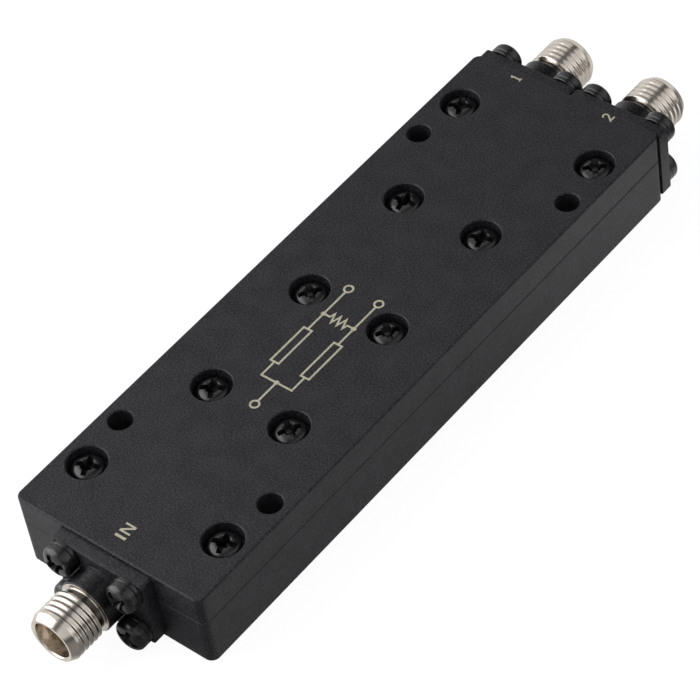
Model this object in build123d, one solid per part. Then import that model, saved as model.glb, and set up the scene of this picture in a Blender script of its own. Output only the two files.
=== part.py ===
from build123d import *
import math
import os

# Two-way power splitter for high frequencies: a flat housing in two machined halves,
# with one coaxial connector at the front end and two at the back end.
# X runs across the housing, +Y from the input end to the output end, +Z up.
# The origin is under the middle of the housing, on the plane that it rests on. Sizes in mm.

# Housing: a base and a cover that meet at a level seam
housing_length = 79.4
housing_side_margin = 0.1
base_height = 6.3
cover_height = 3.7
housing_corner_radius = 1.0
cover_edge_radius = 0.25
seam_chamfer = 0.12
base_edge_chamfer = 0.2

# Mounting holes, straight through both halves
mount_hole_radius = 1.4
mount_hole_chamfer = 0.12
mount_hole_side_inset = 2.45
mount_hole_end_inset = 14.1

# Machine screws: one size of pan head with a cross recess
screw_thread_radius = 1.0
screw_head_radius = 1.9
screw_head_height = 1.55
screw_head_rim = 0.8
screw_crown_radius = 1.2
recess_span = 2.5
recess_width = 0.6
recess_depth = 0.9
tapped_clearance = 0.03
free_hole_clearance = 0.15
tapped_run_out = 0.5

# Spring washers that the flange screws hold under their heads, as wide as the heads
washer_thickness = 0.53

# Cover screws: an outer pair near each end and rows of inner pairs along the circuit
cover_screw_length = 6.0
counterbore_radius = 2.3
counterbore_depth = 1.9
counterbore_chamfer = 0.12
outer_screw_wall = 0.65
outer_screw_end_inset = 7.7
inner_screw_wall = 1.0
inner_screw_pitch = 16.5
inner_screw_rows = 3

# Connector flange and its screws: the output flanges stand side by side and fill the width
flange_width = 12.7
flange_gap = 0.1
flange_rise = 0.35
flange_top_inset = 0.45
flange_thickness = 1.57
flange_corner_radius = 0.45
flange_edge_chamfer = 0.15
flange_screw_inset_z = 1.6
flange_screw_bite = 3.5

# Connector barrel, measured outwards from the end face of the housing
neck_radius = 3.3
collar_end = 4.3
collar_chamfer = 0.15
undercut_radius = 2.65
thread_start = 5.3
thread_radius = 3.175
thread_chamfer = 0.4
thread_end = 8.65
rim_radius = 2.75
barrel_end = 9.52

# Connector inside: socket, air line, support bead and contact
socket_radius = 2.3
socket_depth = 2.0
socket_chamfer = 0.15
air_line_radius = 1.46
bead_seat_radius = 1.8
bead_seat_end = 2.6
support_bead_thickness = 1.0
bead_clearance = 0.02
contact_radius = 0.635
contact_recess = 0.05
contact_bore_radius = 0.47
contact_bore_depth = 2.0
contact_slot_width = 0.16
contact_slot_depth = 1.8
contact_rear_gap = 0.1

# Feedthrough in the end wall of the base
end_wall = 2.2
glass_bead_radius = 0.95
glass_bead_length = 1.6
launch_line_radius = 0.5
pin_radius = 0.15
pin_clearance = 0.02
pin_grip = 1.1
pin_overlap = 0.9
solder_gap = 0.01

# Circuit: a board in a forked channel, a printed track and bridging resistors
board_thickness = 0.5
board_clearance = 0.1
track_thickness = 0.05
channel_headroom = 1.0
launch_channel_width = 2.8
trunk_width = 6.8
trunk_corner_radius = 1.0
trunk_start_inset = 8.2
trunk_end_inset = 19.2
split_inset = 9.7
join_inset = 22.1
branch_straight = 9.5
feed_track_width = 1.1
section_count = 7
narrow_track_width = 0.3
wide_track_width = 0.7
section_joint_x = 0.75
section_bulge_x = 2.3
joint_pad_length = 0.8
track_end_gap = 0.15
resistor_length = 1.9
resistor_width = 0.6
resistor_thickness = 0.35

# Places that follow from the sizes above
housing_height = base_height + cover_height
output_pitch = flange_width + flange_gap
housing_width = output_pitch + flange_width + 2 * housing_side_margin
end_y = housing_length / 2
seam_z = base_height
flange_height = housing_height - flange_rise - flange_top_inset
axis_height = flange_rise + flange_height / 2
track_top_z = axis_height - pin_radius - solder_gap
board_top_z = track_top_z - track_thickness
channel_floor_z = board_top_z - board_thickness
output_x = output_pitch / 2
split_y = split_inset - end_y
join_y = end_y - join_inset
section_length = (join_y - split_y) / section_count
branch_end_y = end_y - branch_straight
reference_plane = barrel_end - socket_depth
mount_hole_x = housing_width / 2 - mount_hole_side_inset
outer_screw_x = output_x + launch_channel_width / 2 + outer_screw_wall + screw_thread_radius
inner_screw_x = trunk_width / 2 + inner_screw_wall + screw_thread_radius

# The flange screws stand midway between the neck and the side of the flange
flange_screw_z = flange_height / 2 - flange_screw_inset_z
nearest_screw_x = math.sqrt((neck_radius + screw_head_radius) ** 2 - flange_screw_z ** 2)
farthest_screw_x = output_pitch / 2 - screw_head_radius
flange_screw_x = (nearest_screw_x + farthest_screw_x) / 2

PORTS = {
    "input": Plane((0, -end_y, axis_height), x_dir=(1, 0, 0), z_dir=(0, -1, 0)),
    "output_1": Plane((-output_x, end_y, axis_height), x_dir=(-1, 0, 0), z_dir=(0, 1, 0)),
    "output_2": Plane((output_x, end_y, axis_height), x_dir=(-1, 0, 0), z_dir=(0, 1, 0)),
}
UPWARDS = (Align.CENTER, Align.CENTER, Align.MIN)
DOWNWARDS = (Align.CENTER, Align.CENTER, Align.MAX)


def cylinder_up(radius, low, high):
    """A round bar on the local axis, from one height to another."""
    return Pos(0, 0, low) * Cylinder(radius, high - low, align=UPWARDS)


def mirrored(x, y):
    """The four points that a symmetric pattern has at plus and minus x and y."""
    return [(sign_x * x, sign_y * y) for sign_x in (-1, 1) for sign_y in (-1, 1)]


def mount_points():
    return mirrored(mount_hole_x, end_y - mount_hole_end_inset)


def cover_screw_points():
    """An outer pair near each end, and the rows of inner pairs about the middle."""
    points = mirrored(outer_screw_x, end_y - outer_screw_end_inset)
    for row in range(inner_screw_rows):
        y = (row - (inner_screw_rows - 1) / 2) * inner_screw_pitch
        points += [(-inner_screw_x, y), (inner_screw_x, y)]
    return points


def flange_screw_points():
    """Screw places on a flange, in the port's own plane."""
    return mirrored(flange_screw_x, flange_screw_z)


def flange_screw_holes(radius, depth):
    """Blind holes for the flange screws of every port, sunk into the ends of the housing."""
    holes = []
    for port in PORTS.values():
        for x, y in flange_screw_points():
            holes.append(port * Pos(x, y, 0) * Cylinder(radius, depth, align=DOWNWARDS))
    return holes


def branch_line(side, start_x, start_y):
    """Centre line of one branch: an S bend out to the output, then straight to the end wall."""
    shift = output_x - start_x
    rise = branch_end_y - start_y
    radius = (shift ** 2 + rise ** 2) / (4 * shift)
    turn = 2 * math.degrees(math.atan2(shift, rise))
    out_arc = JernArc((side * start_x, start_y), (0, 1), radius, -side * turn)
    back_arc = JernArc(out_arc @ 1, out_arc % 1, radius, side * turn)
    return out_arc, back_arc


def strip(line, width):
    """A flat strip of even width along a centre line."""
    return trace(line, line_width=width)


def channel_outline(clearance):
    """Plan of the forked channel, or of the board that lies in it with a gap all round."""
    narrow = launch_channel_width - 2 * clearance
    wall_y = end_y - end_wall - clearance
    trunk_low = trunk_start_inset - end_y + clearance
    trunk_high = end_y - trunk_end_inset - clearance
    trunk_length = trunk_high - trunk_low
    trunk = RectangleRounded(trunk_width - 2 * clearance, trunk_length, trunk_corner_radius)
    outline = Pos(0, (trunk_low + trunk_high) / 2) * trunk
    feed_length = wall_y + trunk_low + trunk_corner_radius
    outline += Pos(0, feed_length / 2 - wall_y) * Rectangle(narrow, feed_length)
    for side in (-1, 1):
        for arc in branch_line(side, section_joint_x, join_y):
            outline += strip(arc, narrow)
        straight = wall_y - branch_end_y
        outline += Pos(side * output_x, branch_end_y + straight / 2) * Rectangle(narrow, straight)
    return outline


def make_base():
    """Lower half: forked channel for the board, tapped holes, and bores for the feedthroughs."""
    base = extrude(RectangleRounded(housing_width, housing_length, housing_corner_radius), base_height)
    base = chamfer(base.edges().group_by(Axis.Z)[-1], seam_chamfer)
    base = chamfer(base.edges().group_by(Axis.Z)[0], base_edge_chamfer)
    channel = extrude(channel_outline(0), base_height - channel_floor_z)
    cuts = [Pos(0, 0, channel_floor_z) * channel]
    for x, y in mount_points():
        cuts.append(Pos(x, y, 0) * cylinder_up(mount_hole_radius, 0, base_height))
    under_head_z = housing_height - counterbore_depth
    hole_floor_z = max(under_head_z - cover_screw_length - tapped_run_out, base_edge_chamfer)
    for x, y in cover_screw_points():
        radius = screw_thread_radius + tapped_clearance
        cuts.append(Pos(x, y, 0) * cylinder_up(radius, hole_floor_z, base_height))
    cuts += flange_screw_holes(screw_thread_radius + tapped_clearance, flange_screw_bite + tapped_run_out)
    for port in PORTS.values():
        cuts.append(port * cylinder_up(glass_bead_radius + bead_clearance, -glass_bead_length, 0))
        cuts.append(port * cylinder_up(launch_line_radius, -end_wall, 0))
    return base - cuts


def make_cover():
    """Upper half: counterbored screw holes, mounting holes and headroom over the circuit."""
    cover = extrude(RectangleRounded(housing_width, housing_length, housing_corner_radius), cover_height)
    cover = fillet(cover.edges().group_by(Axis.Z)[-1], cover_edge_radius)
    cover = chamfer(cover.edges().group_by(Axis.Z)[0], seam_chamfer)
    cover = Pos(0, 0, seam_z) * cover
    cuts = [Pos(0, 0, seam_z) * extrude(channel_outline(0), channel_headroom)]
    for x, y in mount_points():
        cuts.append(Pos(x, y, 0) * cylinder_up(mount_hole_radius, seam_z, housing_height))
        cuts.append(Pos(x, y, 0) * rim_cut(mount_hole_radius, mount_hole_chamfer))
    for x, y in cover_screw_points():
        radius = screw_thread_radius + free_hole_clearance
        floor_z = housing_height - counterbore_depth
        cuts.append(Pos(x, y, 0) * cylinder_up(radius, seam_z, floor_z))
        cuts.append(Pos(x, y, 0) * cylinder_up(counterbore_radius, floor_z, housing_height))
        cuts.append(Pos(x, y, 0) * rim_cut(counterbore_radius, counterbore_chamfer))
    cuts += flange_screw_holes(screw_thread_radius + tapped_clearance, flange_screw_bite + tapped_run_out)
    return cover - cuts


def rim_cut(radius, size):
    """Cone that breaks the upper edge of a hole in the cover."""
    return Pos(0, 0, housing_height) * Cone(radius, radius + size, size, align=DOWNWARDS)


def make_screw(length, washer=0):
    """Pan head screw on the local axis: the shank hangs below zero, and the head stands above it.
    A washer that the screw holds lifts the head by its own thickness."""
    rim = washer + screw_head_rim
    top = washer + screw_head_height
    screw = cylinder_up(screw_head_radius, 0, rim)
    screw += Pos(0, 0, rim) * Cone(screw_head_radius, screw_crown_radius, top - rim, align=UPWARDS)
    screw += Cylinder(screw_thread_radius, length, align=DOWNWARDS)
    for turn in (0, 90):
        slot = Box(recess_span, recess_width, recess_depth, align=DOWNWARDS)
        screw -= Pos(0, 0, top) * Rot(0, 0, turn) * slot
    return screw


def make_cover_screws():
    """The cover screws, each seated on the floor of its counterbore."""
    seat_z = housing_height - counterbore_depth
    screw = make_screw(cover_screw_length)
    return Compound(children=[Pos(x, y, seat_z) * screw for x, y in cover_screw_points()])


def make_flange_screws(port):
    """The screws of one flange, seated on its outer face with their spring washers."""
    screw = make_screw(flange_thickness + flange_screw_bite, washer_thickness)
    return Compound(children=[port * Pos(x, y, flange_thickness) * screw for x, y in flange_screw_points()])


def barrel_profile():
    """Half section of the turned barrel, from the axis out, as radius and distance."""
    return Polyline(
        (0, 0),
        (neck_radius, 0),
        (neck_radius, collar_end - collar_chamfer),
        (neck_radius - collar_chamfer, collar_end),
        (undercut_radius, collar_end),
        (undercut_radius, thread_start - thread_chamfer),
        (thread_radius, thread_start),
        (thread_radius, thread_end),
        (rim_radius, barrel_end),
        (0, barrel_end),
        close=True,
    )


def make_connector_body(port):
    """Flange and barrel turned and milled from one piece, with the socket bored through it."""
    flange = extrude(RectangleRounded(flange_width, flange_height, flange_corner_radius), flange_thickness)
    flange = chamfer(flange.edges().group_by(Axis.Z)[-1], flange_edge_chamfer)
    body = flange + revolve(Plane.XZ * make_face(barrel_profile()), Axis.Z)
    cuts = [cylinder_up(bead_seat_radius, 0, bead_seat_end)]
    cuts.append(cylinder_up(air_line_radius, bead_seat_end, reference_plane))
    cuts.append(cylinder_up(socket_radius, reference_plane, barrel_end))
    mouth = Cone(socket_radius, socket_radius + socket_chamfer, socket_chamfer, align=DOWNWARDS)
    cuts.append(Pos(0, 0, barrel_end) * mouth)
    for x, y in flange_screw_points():
        radius = screw_thread_radius + free_hole_clearance
        cuts.append(Pos(x, y, 0) * cylinder_up(radius, 0, flange_thickness))
    return port * (body - cuts)


def make_support_bead(port):
    """Insulating ring against the shoulder of the air line, with the contact through it."""
    bead = cylinder_up(bead_seat_radius - bead_clearance, bead_seat_end - support_bead_thickness, bead_seat_end)
    return port * (bead - cylinder_up(contact_radius + bead_clearance, 0, bead_seat_end))


def make_centre_contact(port):
    """Socket contact: slotted tines at the mouth, and a rear bore that grips the launch pin."""
    front = reference_plane - contact_recess
    contact = cylinder_up(contact_radius, contact_rear_gap, front)
    contact -= cylinder_up(contact_bore_radius, front - contact_bore_depth, front)
    contact -= cylinder_up(pin_radius + pin_clearance, 0, contact_rear_gap + pin_grip)
    for turn in (0, 90):
        slot = Box(3 * contact_radius, contact_slot_width, contact_slot_depth, align=DOWNWARDS)
        contact -= Pos(0, 0, front) * Rot(0, 0, turn) * slot
    return port * contact


def make_glass_bead(port):
    """Glass seal in the end wall, around the launch pin."""
    bead = cylinder_up(glass_bead_radius, -glass_bead_length, 0)
    return port * (bead - cylinder_up(pin_radius + pin_clearance, -glass_bead_length, 0))


def make_launch_pin(port):
    """Pin from the back of the contact, through the glass, onto the end of the track."""
    return port * cylinder_up(pin_radius, -end_wall - pin_overlap, pin_grip)


def make_circuit_board():
    """Forked board on the channel floor."""
    return Pos(0, 0, channel_floor_z) * extrude(channel_outline(board_clearance), board_thickness)


def section_arm(side, index):
    """One bowed arm between two joints, wider towards the outputs."""
    low = split_y + index * section_length
    joint_x = side * section_joint_x
    start = (joint_x, low)
    middle = (side * section_bulge_x, low + section_length / 2)
    finish = (joint_x, low + section_length)
    width = narrow_track_width
    if section_count > 1:
        width += (wide_track_width - narrow_track_width) * index / (section_count - 1)
    return strip(ThreePointArc(start, middle, finish), width)


def track_pieces():
    """Flat outlines of the track: feed, split, bowed arms, joint pads and output lines."""
    feed_low = end_wall + board_clearance + track_end_gap - end_y
    pieces = [Pos(0, (feed_low + split_y) / 2) * Rectangle(feed_track_width, split_y - feed_low)]
    bar_width = 2 * section_joint_x + wide_track_width
    pieces.append(Pos(0, split_y) * Rectangle(bar_width, joint_pad_length))
    line_end = end_y - end_wall - board_clearance - track_end_gap
    for side in (-1, 1):
        for index in range(section_count):
            pieces.append(section_arm(side, index))
            pad = Rectangle(wide_track_width, joint_pad_length)
            pieces.append(Pos(side * section_joint_x, split_y + (index + 1) * section_length) * pad)
        for arc in branch_line(side, section_joint_x, join_y):
            pieces.append(strip(arc, wide_track_width))
        straight = line_end - branch_end_y
        line = Rectangle(wide_track_width, straight)
        pieces.append(Pos(side * output_x, branch_end_y + straight / 2) * line)
    return pieces


def make_track():
    """Copper track as one solid on top of the board."""
    solids = [extrude(piece, track_thickness) for piece in track_pieces()]
    return Pos(0, 0, board_top_z) * solids[0].fuse(*solids[1:]).clean()


def make_resistor(index):
    """Chip that bridges the two arms at the end of a section."""
    chip = Box(resistor_length, resistor_width, resistor_thickness, align=UPWARDS)
    return Pos(0, split_y + (index + 1) * section_length, track_top_z) * chip


def save(shape, name):
    export_step(shape, f"parts/{name}.step")
    print(name, round(shape.volume, 3), "mm3")


os.makedirs("parts", exist_ok=True)
save(make_base(), "base_housing")
save(make_cover(), "top_cover")
save(make_cover_screws(), "cover_screws")
save(make_circuit_board(), "circuit_board")
save(make_track(), "splitter_track")
for number in range(section_count):
    save(make_resistor(number), f"balance_resistor_{number + 1}")
for port_name, port_plane in PORTS.items():
    save(make_connector_body(port_plane), f"{port_name}_connector_body")
    save(make_support_bead(port_plane), f"{port_name}_support_bead")
    save(make_centre_contact(port_plane), f"{port_name}_centre_contact")
    save(make_glass_bead(port_plane), f"{port_name}_glass_bead")
    save(make_launch_pin(port_plane), f"{port_name}_launch_pin")
    save(make_flange_screws(port_plane), f"{port_name}_flange_screws")
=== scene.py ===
import bmesh
import bpy
import math
from mathutils import Matrix, Vector


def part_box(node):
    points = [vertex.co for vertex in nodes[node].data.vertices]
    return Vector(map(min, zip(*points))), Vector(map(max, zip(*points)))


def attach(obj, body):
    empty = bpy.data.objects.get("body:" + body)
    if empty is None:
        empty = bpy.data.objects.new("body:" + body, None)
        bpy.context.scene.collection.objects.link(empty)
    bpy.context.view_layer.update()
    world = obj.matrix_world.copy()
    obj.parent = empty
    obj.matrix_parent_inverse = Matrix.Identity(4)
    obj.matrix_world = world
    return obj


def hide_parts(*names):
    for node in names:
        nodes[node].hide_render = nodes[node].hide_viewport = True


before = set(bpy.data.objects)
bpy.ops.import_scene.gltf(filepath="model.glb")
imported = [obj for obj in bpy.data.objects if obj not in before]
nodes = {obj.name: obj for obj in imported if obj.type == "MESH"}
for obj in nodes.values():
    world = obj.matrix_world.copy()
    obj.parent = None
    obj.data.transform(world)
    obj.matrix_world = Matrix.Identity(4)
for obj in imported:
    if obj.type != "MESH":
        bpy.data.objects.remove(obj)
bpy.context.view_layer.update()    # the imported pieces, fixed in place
mm = 0.001           # sizes below are millimetres times this
mergeGap = 0.0005 * mm

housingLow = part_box("base_housing")[0]
coverLow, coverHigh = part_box("top_cover")
topZ = coverHigh.z
endY = coverHigh.y
sideX = coverHigh.x
print("frame loaded:", len(nodes), "nodes")


# One class for node trees, of shaders and of geometry alike

class Wire:
    # An output socket of a tree. Arithmetic on it adds Math nodes, and node() adds any other node.
    def __init__(self, tree, socket=None):
        self.tree = tree
        self.socket = socket

    def node(self, kind, settings=None, inputs=None, output=0):
        made = self.tree.nodes.new(kind)
        for name, value in (settings or {}).items():
            setattr(made, name, value)
        for key, value in (inputs or {}).items():
            if isinstance(value, Wire):
                self.tree.links.new(value.socket, made.inputs[key])
            else:
                made.inputs[key].default_value = value
        return Wire(self.tree, made.outputs[output] if len(made.outputs) else None)

    def out(self, name):
        return Wire(self.tree, self.socket.node.outputs[name])

    def axis(self, name):
        # One coordinate of a wire that carries a place or a direction
        return self.node("ShaderNodeSeparateXYZ", {}, {0: self}, name)

    def math(self, operation, *values):
        return self.node("ShaderNodeMath", {"operation": operation}, dict(enumerate(values)))

    def __add__(self, other):
        return self.math("ADD", self, other)

    def __radd__(self, other):
        return self.math("ADD", other, self)

    def __sub__(self, other):
        return self.math("SUBTRACT", self, other)

    def __rsub__(self, other):
        return self.math("SUBTRACT", other, self)

    def __mul__(self, other):
        return self.math("MULTIPLY", self, other)

    def __truediv__(self, other):
        return self.math("DIVIDE", self, other)

    def __abs__(self):
        return self.math("ABSOLUTE", self)

    def least(self, other):
        return self.math("MINIMUM", self, other)

    def most(self, other):
        return self.math("MAXIMUM", self, other)

    def ramp(self, low, high):
        # 0 below low, 1 above high; low may be the larger one
        kind = {"interpolation_type": "SMOOTHSTEP", "clamp": True}
        return self.node("ShaderNodeMapRange", kind, {0: self, 1: low, 2: high, 3: 0.0, 4: 1.0})

    def blendColour(self, first, second):
        # first where this wire is 0, second where it is 1
        return self.node("ShaderNodeMix", {"data_type": "RGBA"}, {0: self, 6: first, 7: second}, 2)


def colour(red, green, blue):
    return (red, green, blue, 1)


# Materials

mottleEnds = (0.3, 0.7)   # noise below the first has one colour, and above the second the other
fineShare = 0.3           # size of the fine bumps of a plain finish against its mottling


def newMaterial(name):
    # An empty material, its tree, and the place on the object that its patterns follow
    material = bpy.data.materials.new(name)
    material.use_nodes = True
    material.node_tree.nodes.clear()
    graph = Wire(material.node_tree)
    return material, graph, graph.node("ShaderNodeTexCoord", {}, {}, "Object")


def grey(graph, tone):
    return graph.node("ShaderNodeCombineXYZ", {}, {0: tone, 1: tone, 2: tone})


def finishMaterial(material, graph, surface):
    graph.node("ShaderNodeOutputMaterial", {}, {"Surface": surface})
    return material


def noise(graph, place, size, detail=2.0, roughness=0.5, stretch=(1, 1, 1)):
    # Noise whose lumps are about size across
    scaled = graph.node("ShaderNodeVectorMath", {"operation": "MULTIPLY"}, {0: place, 1: stretch})
    values = {"Vector": scaled, "Scale": 1 / size, "Detail": detail, "Roughness": roughness}
    return graph.node("ShaderNodeTexNoise", {}, values, "Fac")


def grains(graph, place, size):
    # Rounded grains, 0 at a grain's middle
    values = {"Vector": place, "Scale": 1 / size}
    return graph.node("ShaderNodeTexVoronoi", {"feature": "SMOOTH_F1"}, values, "Distance")


def bump(graph, height, depth):
    return graph.node("ShaderNodeBump", {}, {"Height": height, "Distance": depth})


paintLook = dict(
    dark=colour(0.001, 0.001, 0.002),
    light=colour(0.034, 0.034, 0.04),
    grainSize=0.2 * mm,
    pebbles=1.4,              # size of the rounded pebbles against the grain
    patchSize=2.6 * mm,
    grainTone=1.6,            # grain and patches together, less the drop, make the tone
    patchTone=0.3,
    toneDrop=0.45,
    toneEnds=(0.2, 0.85),
    grainDepth=0.055 * mm,
    grainRelief=0.6,          # the grain rises by this part of the depth
    pebbleRelief=0.5,         # and the pebbles' rims fall by this part
    roughness=0.5,
    roughnessSpread=0.2,
    specular=0.3,
    # painted light: a pale, dull tone laid along the seam lifts the shade in the groove between the halves
    seamLightTone=colour(0.055, 0.055, 0.059),   # a pale, dull tone along the seam between the halves
    seamShare=0.5,            # how much of it covers the paint there
    seamReach=0.16 * mm,
    seamCore=0.7,             # it is even over this part of its reach
)


def paintSurface(graph, place, look):
    # Colour, roughness and bump of the fine-grained black paint
    grain = noise(graph, place, look["grainSize"], 3.0, 0.6)
    pebble = grains(graph, place, look["pebbles"] * look["grainSize"])
    patch = noise(graph, place, look["patchSize"], 2.0)
    tone = grain * look["grainTone"] + patch * look["patchTone"] - look["toneDrop"]
    shade = tone.ramp(*look["toneEnds"]).blendColour(look["dark"], look["light"])
    rough = look["roughness"] + (grain - 0.5) * look["roughnessSpread"]
    relief = grain * look["grainRelief"] - pebble * look["pebbleRelief"]
    normal = bump(graph, relief, look["grainDepth"])
    return shade, rough, normal


def makePaint():
    material, graph, place = newMaterial("housingPaint")
    shade, rough, normal = paintSurface(graph, place, paintLook)
    paint = graph.node("ShaderNodeBsdfPrincipled", {}, {
        "Base Color": shade,
        "Roughness": rough,
        "Specular IOR Level": paintLook["specular"],
        "Normal": normal,
    })
    # Painted light along the seam: a pale dull diffuse tone lifts the shade that the groove between the
    # halves casts
    fromSeam = abs(place.axis("Z") - coverLow.z)
    reach = paintLook["seamReach"]
    seam = fromSeam.ramp(reach, paintLook["seamCore"] * reach) * paintLook["seamShare"]
    seamLightening = graph.node("ShaderNodeBsdfDiffuse", {}, {"Color": paintLook["seamLightTone"]})
    surface = graph.node("ShaderNodeMixShader", {}, {0: seam, 1: paint, 2: seamLightening})
    return finishMaterial(material, graph, surface)


screwLook = dict(
    dark=colour(0.003, 0.003, 0.0035),
    light=colour(0.01, 0.01, 0.011),
    grainSize=0.09 * mm,
    smudges=9,                # size of the smudges against the grain
    grainDepth=0.002 * mm,
    roughness=0.28,
    roughnessSpread=0.14,
    gloss=1.55,               # refractive index of the black finish
)


def makeScrewBlack():
    material, graph, place = newMaterial("screwBlack")
    grain = noise(graph, place, screwLook["grainSize"], 3.0)
    smudge = noise(graph, place, screwLook["smudges"] * screwLook["grainSize"], 2.0)
    surface = graph.node("ShaderNodeBsdfPrincipled", {}, {
        "Base Color": smudge.ramp(*mottleEnds).blendColour(screwLook["dark"], screwLook["light"]),
        "Roughness": screwLook["roughness"] + (smudge - 0.5) * screwLook["roughnessSpread"],
        "IOR": screwLook["gloss"],
        "Normal": bump(graph, grain, screwLook["grainDepth"]),
    })
    return finishMaterial(material, graph, surface)


steelLook = dict(
    bright=colour(0.79, 0.73, 0.66),
    dull=colour(0.66, 0.595, 0.525),
    ringSize=0.045 * mm,
    ringStretch=(0.02, 1, 0.02),   # rings from turning, narrow along the axis
    ringDepth=0.0008 * mm,
    ringTone=0.3,
    smudgeSize=1.3 * mm,
    smudgeTone=0.7,
    roughness=0.22,
    roughnessSpread=0.16,
    paintEnd=4.27 * mm,       # the paint stops this far from the end face of the housing
    paintWobble=0.05 * mm,
    paintEdge=0.01 * mm,      # half the width of its soft edge
    neckStart=1.9 * mm,       # beyond the flange the paint is darker and glossier
    neckBlend=0.2 * mm,
    neckShade=0.7,
    neckGloss=0.45,
    grooveStart=4.36 * mm,    # the narrow groove behind the thread is darkened
    grooveEnd=4.95 * mm,
    grooveBlend=0.06 * mm,
    grooveTail=0.1 * mm,
    grooveDarkTone=colour(0.01, 0.01, 0.01),
    grooveShade=0.88,
)


def makeConnectorFinish():
    # Turned steel, black where the paint reaches over the flange and the neck
    material, graph, place = newMaterial("connectorFinish")
    along = abs(place.axis("Y"))
    rings = noise(graph, place, steelLook["ringSize"], 2.0, 0.5, steelLook["ringStretch"])
    smudge = noise(graph, place, steelLook["smudgeSize"], 3.0)
    steelTone = (smudge * steelLook["smudgeTone"] + rings * steelLook["ringTone"]).ramp(*mottleEnds)
    steelShade = steelTone.blendColour(steelLook["dull"], steelLook["bright"])
    steelRough = steelLook["roughness"] + (smudge - 0.5) * steelLook["roughnessSpread"]
    paintShade, paintRough, paintNormal = paintSurface(graph, place, paintLook)
    edge = along + (smudge - 0.5) * steelLook["paintWobble"]
    paintEnd = endY + steelLook["paintEnd"]
    bare = edge.ramp(paintEnd - steelLook["paintEdge"], paintEnd + steelLook["paintEdge"])
    neckStart = endY + steelLook["neckStart"]
    neck = along.ramp(neckStart, neckStart + steelLook["neckBlend"])
    paintShade = (neck * steelLook["neckShade"]).blendColour(paintShade, paintLook["dark"])
    paintRough = paintRough * (1 - neck * steelLook["neckGloss"])
    # the narrow groove behind the thread is darkened towards a near-black tone
    grooveStart, grooveEnd = endY + steelLook["grooveStart"], endY + steelLook["grooveEnd"]
    groove = edge.ramp(grooveStart, grooveStart + steelLook["grooveBlend"])
    groove = groove * edge.ramp(grooveEnd + steelLook["grooveTail"], grooveEnd)
    steelShade = (groove * steelLook["grooveShade"]).blendColour(steelShade, steelLook["grooveDarkTone"])
    normal = bare.node("ShaderNodeMix", {"data_type": "VECTOR"}, {
        0: bare, 4: paintNormal, 5: bump(graph, rings, steelLook["ringDepth"]),
    }, 1)
    surface = graph.node("ShaderNodeBsdfPrincipled", {}, {
        "Base Color": bare.blendColour(paintShade, steelShade),
        "Roughness": paintRough * (1 - bare) + steelRough * bare,
        "Metallic": bare,
        "Specular IOR Level": paintLook["specular"],
        "Normal": normal,
    })
    return finishMaterial(material, graph, surface)


def makePlain(name, low, high, size, roughness, spread, depth, constants=None, stretch=(1, 1, 1)):
    # A finish with two mixed colours, uneven gloss and a fine bump
    material, graph, place = newMaterial(name)
    mottle = noise(graph, place, size, 3.0, 0.55, stretch)
    fine = noise(graph, place, fineShare * size, 2.0, 0.5, stretch)
    values = {
        "Base Color": mottle.ramp(*mottleEnds).blendColour(low, high),
        "Roughness": roughness + (mottle - 0.5) * spread,
        "Normal": bump(graph, fine, depth),
    }
    surface = graph.node("ShaderNodeBsdfPrincipled", {}, {**values, **(constants or {})})
    return finishMaterial(material, graph, surface)


laminateLook = dict(
    dark=colour(0.42, 0.4, 0.33),
    light=colour(0.62, 0.6, 0.52),
    threadPitch=0.36 * mm,
    resinSize=0.8 * mm,
    weaveTone=0.25,
    toneEnds=(0.2, 0.8),
    roughness=0.42,
    roughnessSpread=0.2,
    weaveDepth=0.006 * mm,
)


def makeLaminate():
    # Woven board: two crossed sets of threads show through the resin
    material, graph, place = newMaterial("boardLaminate")
    warp = place.axis("X")
    weft = warp.out("Y")
    turns = 2 * math.pi / laminateLook["threadPitch"]
    weave = graph.math("SINE", warp * turns) * graph.math("SINE", weft * turns)
    resin = noise(graph, place, laminateLook["resinSize"], 3.0)
    tone = (weave * laminateLook["weaveTone"] + resin).ramp(*laminateLook["toneEnds"])
    surface = graph.node("ShaderNodeBsdfPrincipled", {}, {
        "Base Color": tone.blendColour(laminateLook["dark"], laminateLook["light"]),
        "Roughness": laminateLook["roughness"] + (resin - 0.5) * laminateLook["roughnessSpread"],
        "Normal": bump(graph, weave, laminateLook["weaveDepth"]),
    })
    return finishMaterial(material, graph, surface)


materials = dict(
    housing_paint=makePaint(),
    black_screws=makeScrewBlack(),
    connector_steel=makeConnectorFinish(),
    board_laminate=makeLaminate(),
    contact_gold=makePlain(
        "contactGold", low=colour(0.78, 0.5, 0.16), high=colour(0.95, 0.68, 0.28), size=0.3 * mm,
        roughness=0.24, spread=0.12, depth=0.001 * mm, constants={"Metallic": 1.0}, stretch=(1, 0.1, 1)),
    bead_insulator=makePlain(
        "beadInsulator", low=colour(0.34, 0.15, 0.04), high=colour(0.5, 0.26, 0.08), size=0.5 * mm,
        roughness=0.3, spread=0.1, depth=0.001 * mm),
    bead_glass=makePlain(
        "beadGlass", low=colour(0.03, 0.07, 0.1), high=colour(0.07, 0.13, 0.17), size=0.4 * mm,
        roughness=0.12, spread=0.08, depth=0.0005 * mm),
    track_copper=makePlain(
        "trackGold", low=colour(0.72, 0.46, 0.2), high=colour(0.92, 0.66, 0.34), size=0.25 * mm,
        roughness=0.34, spread=0.14, depth=0.002 * mm, constants={"Metallic": 1.0}),
    resistor_ceramic=makePlain(
        "resistorCeramic", low=colour(0.02, 0.022, 0.03), high=colour(0.06, 0.065, 0.08), size=0.12 * mm,
        roughness=0.4, spread=0.2, depth=0.002 * mm),
)
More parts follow.
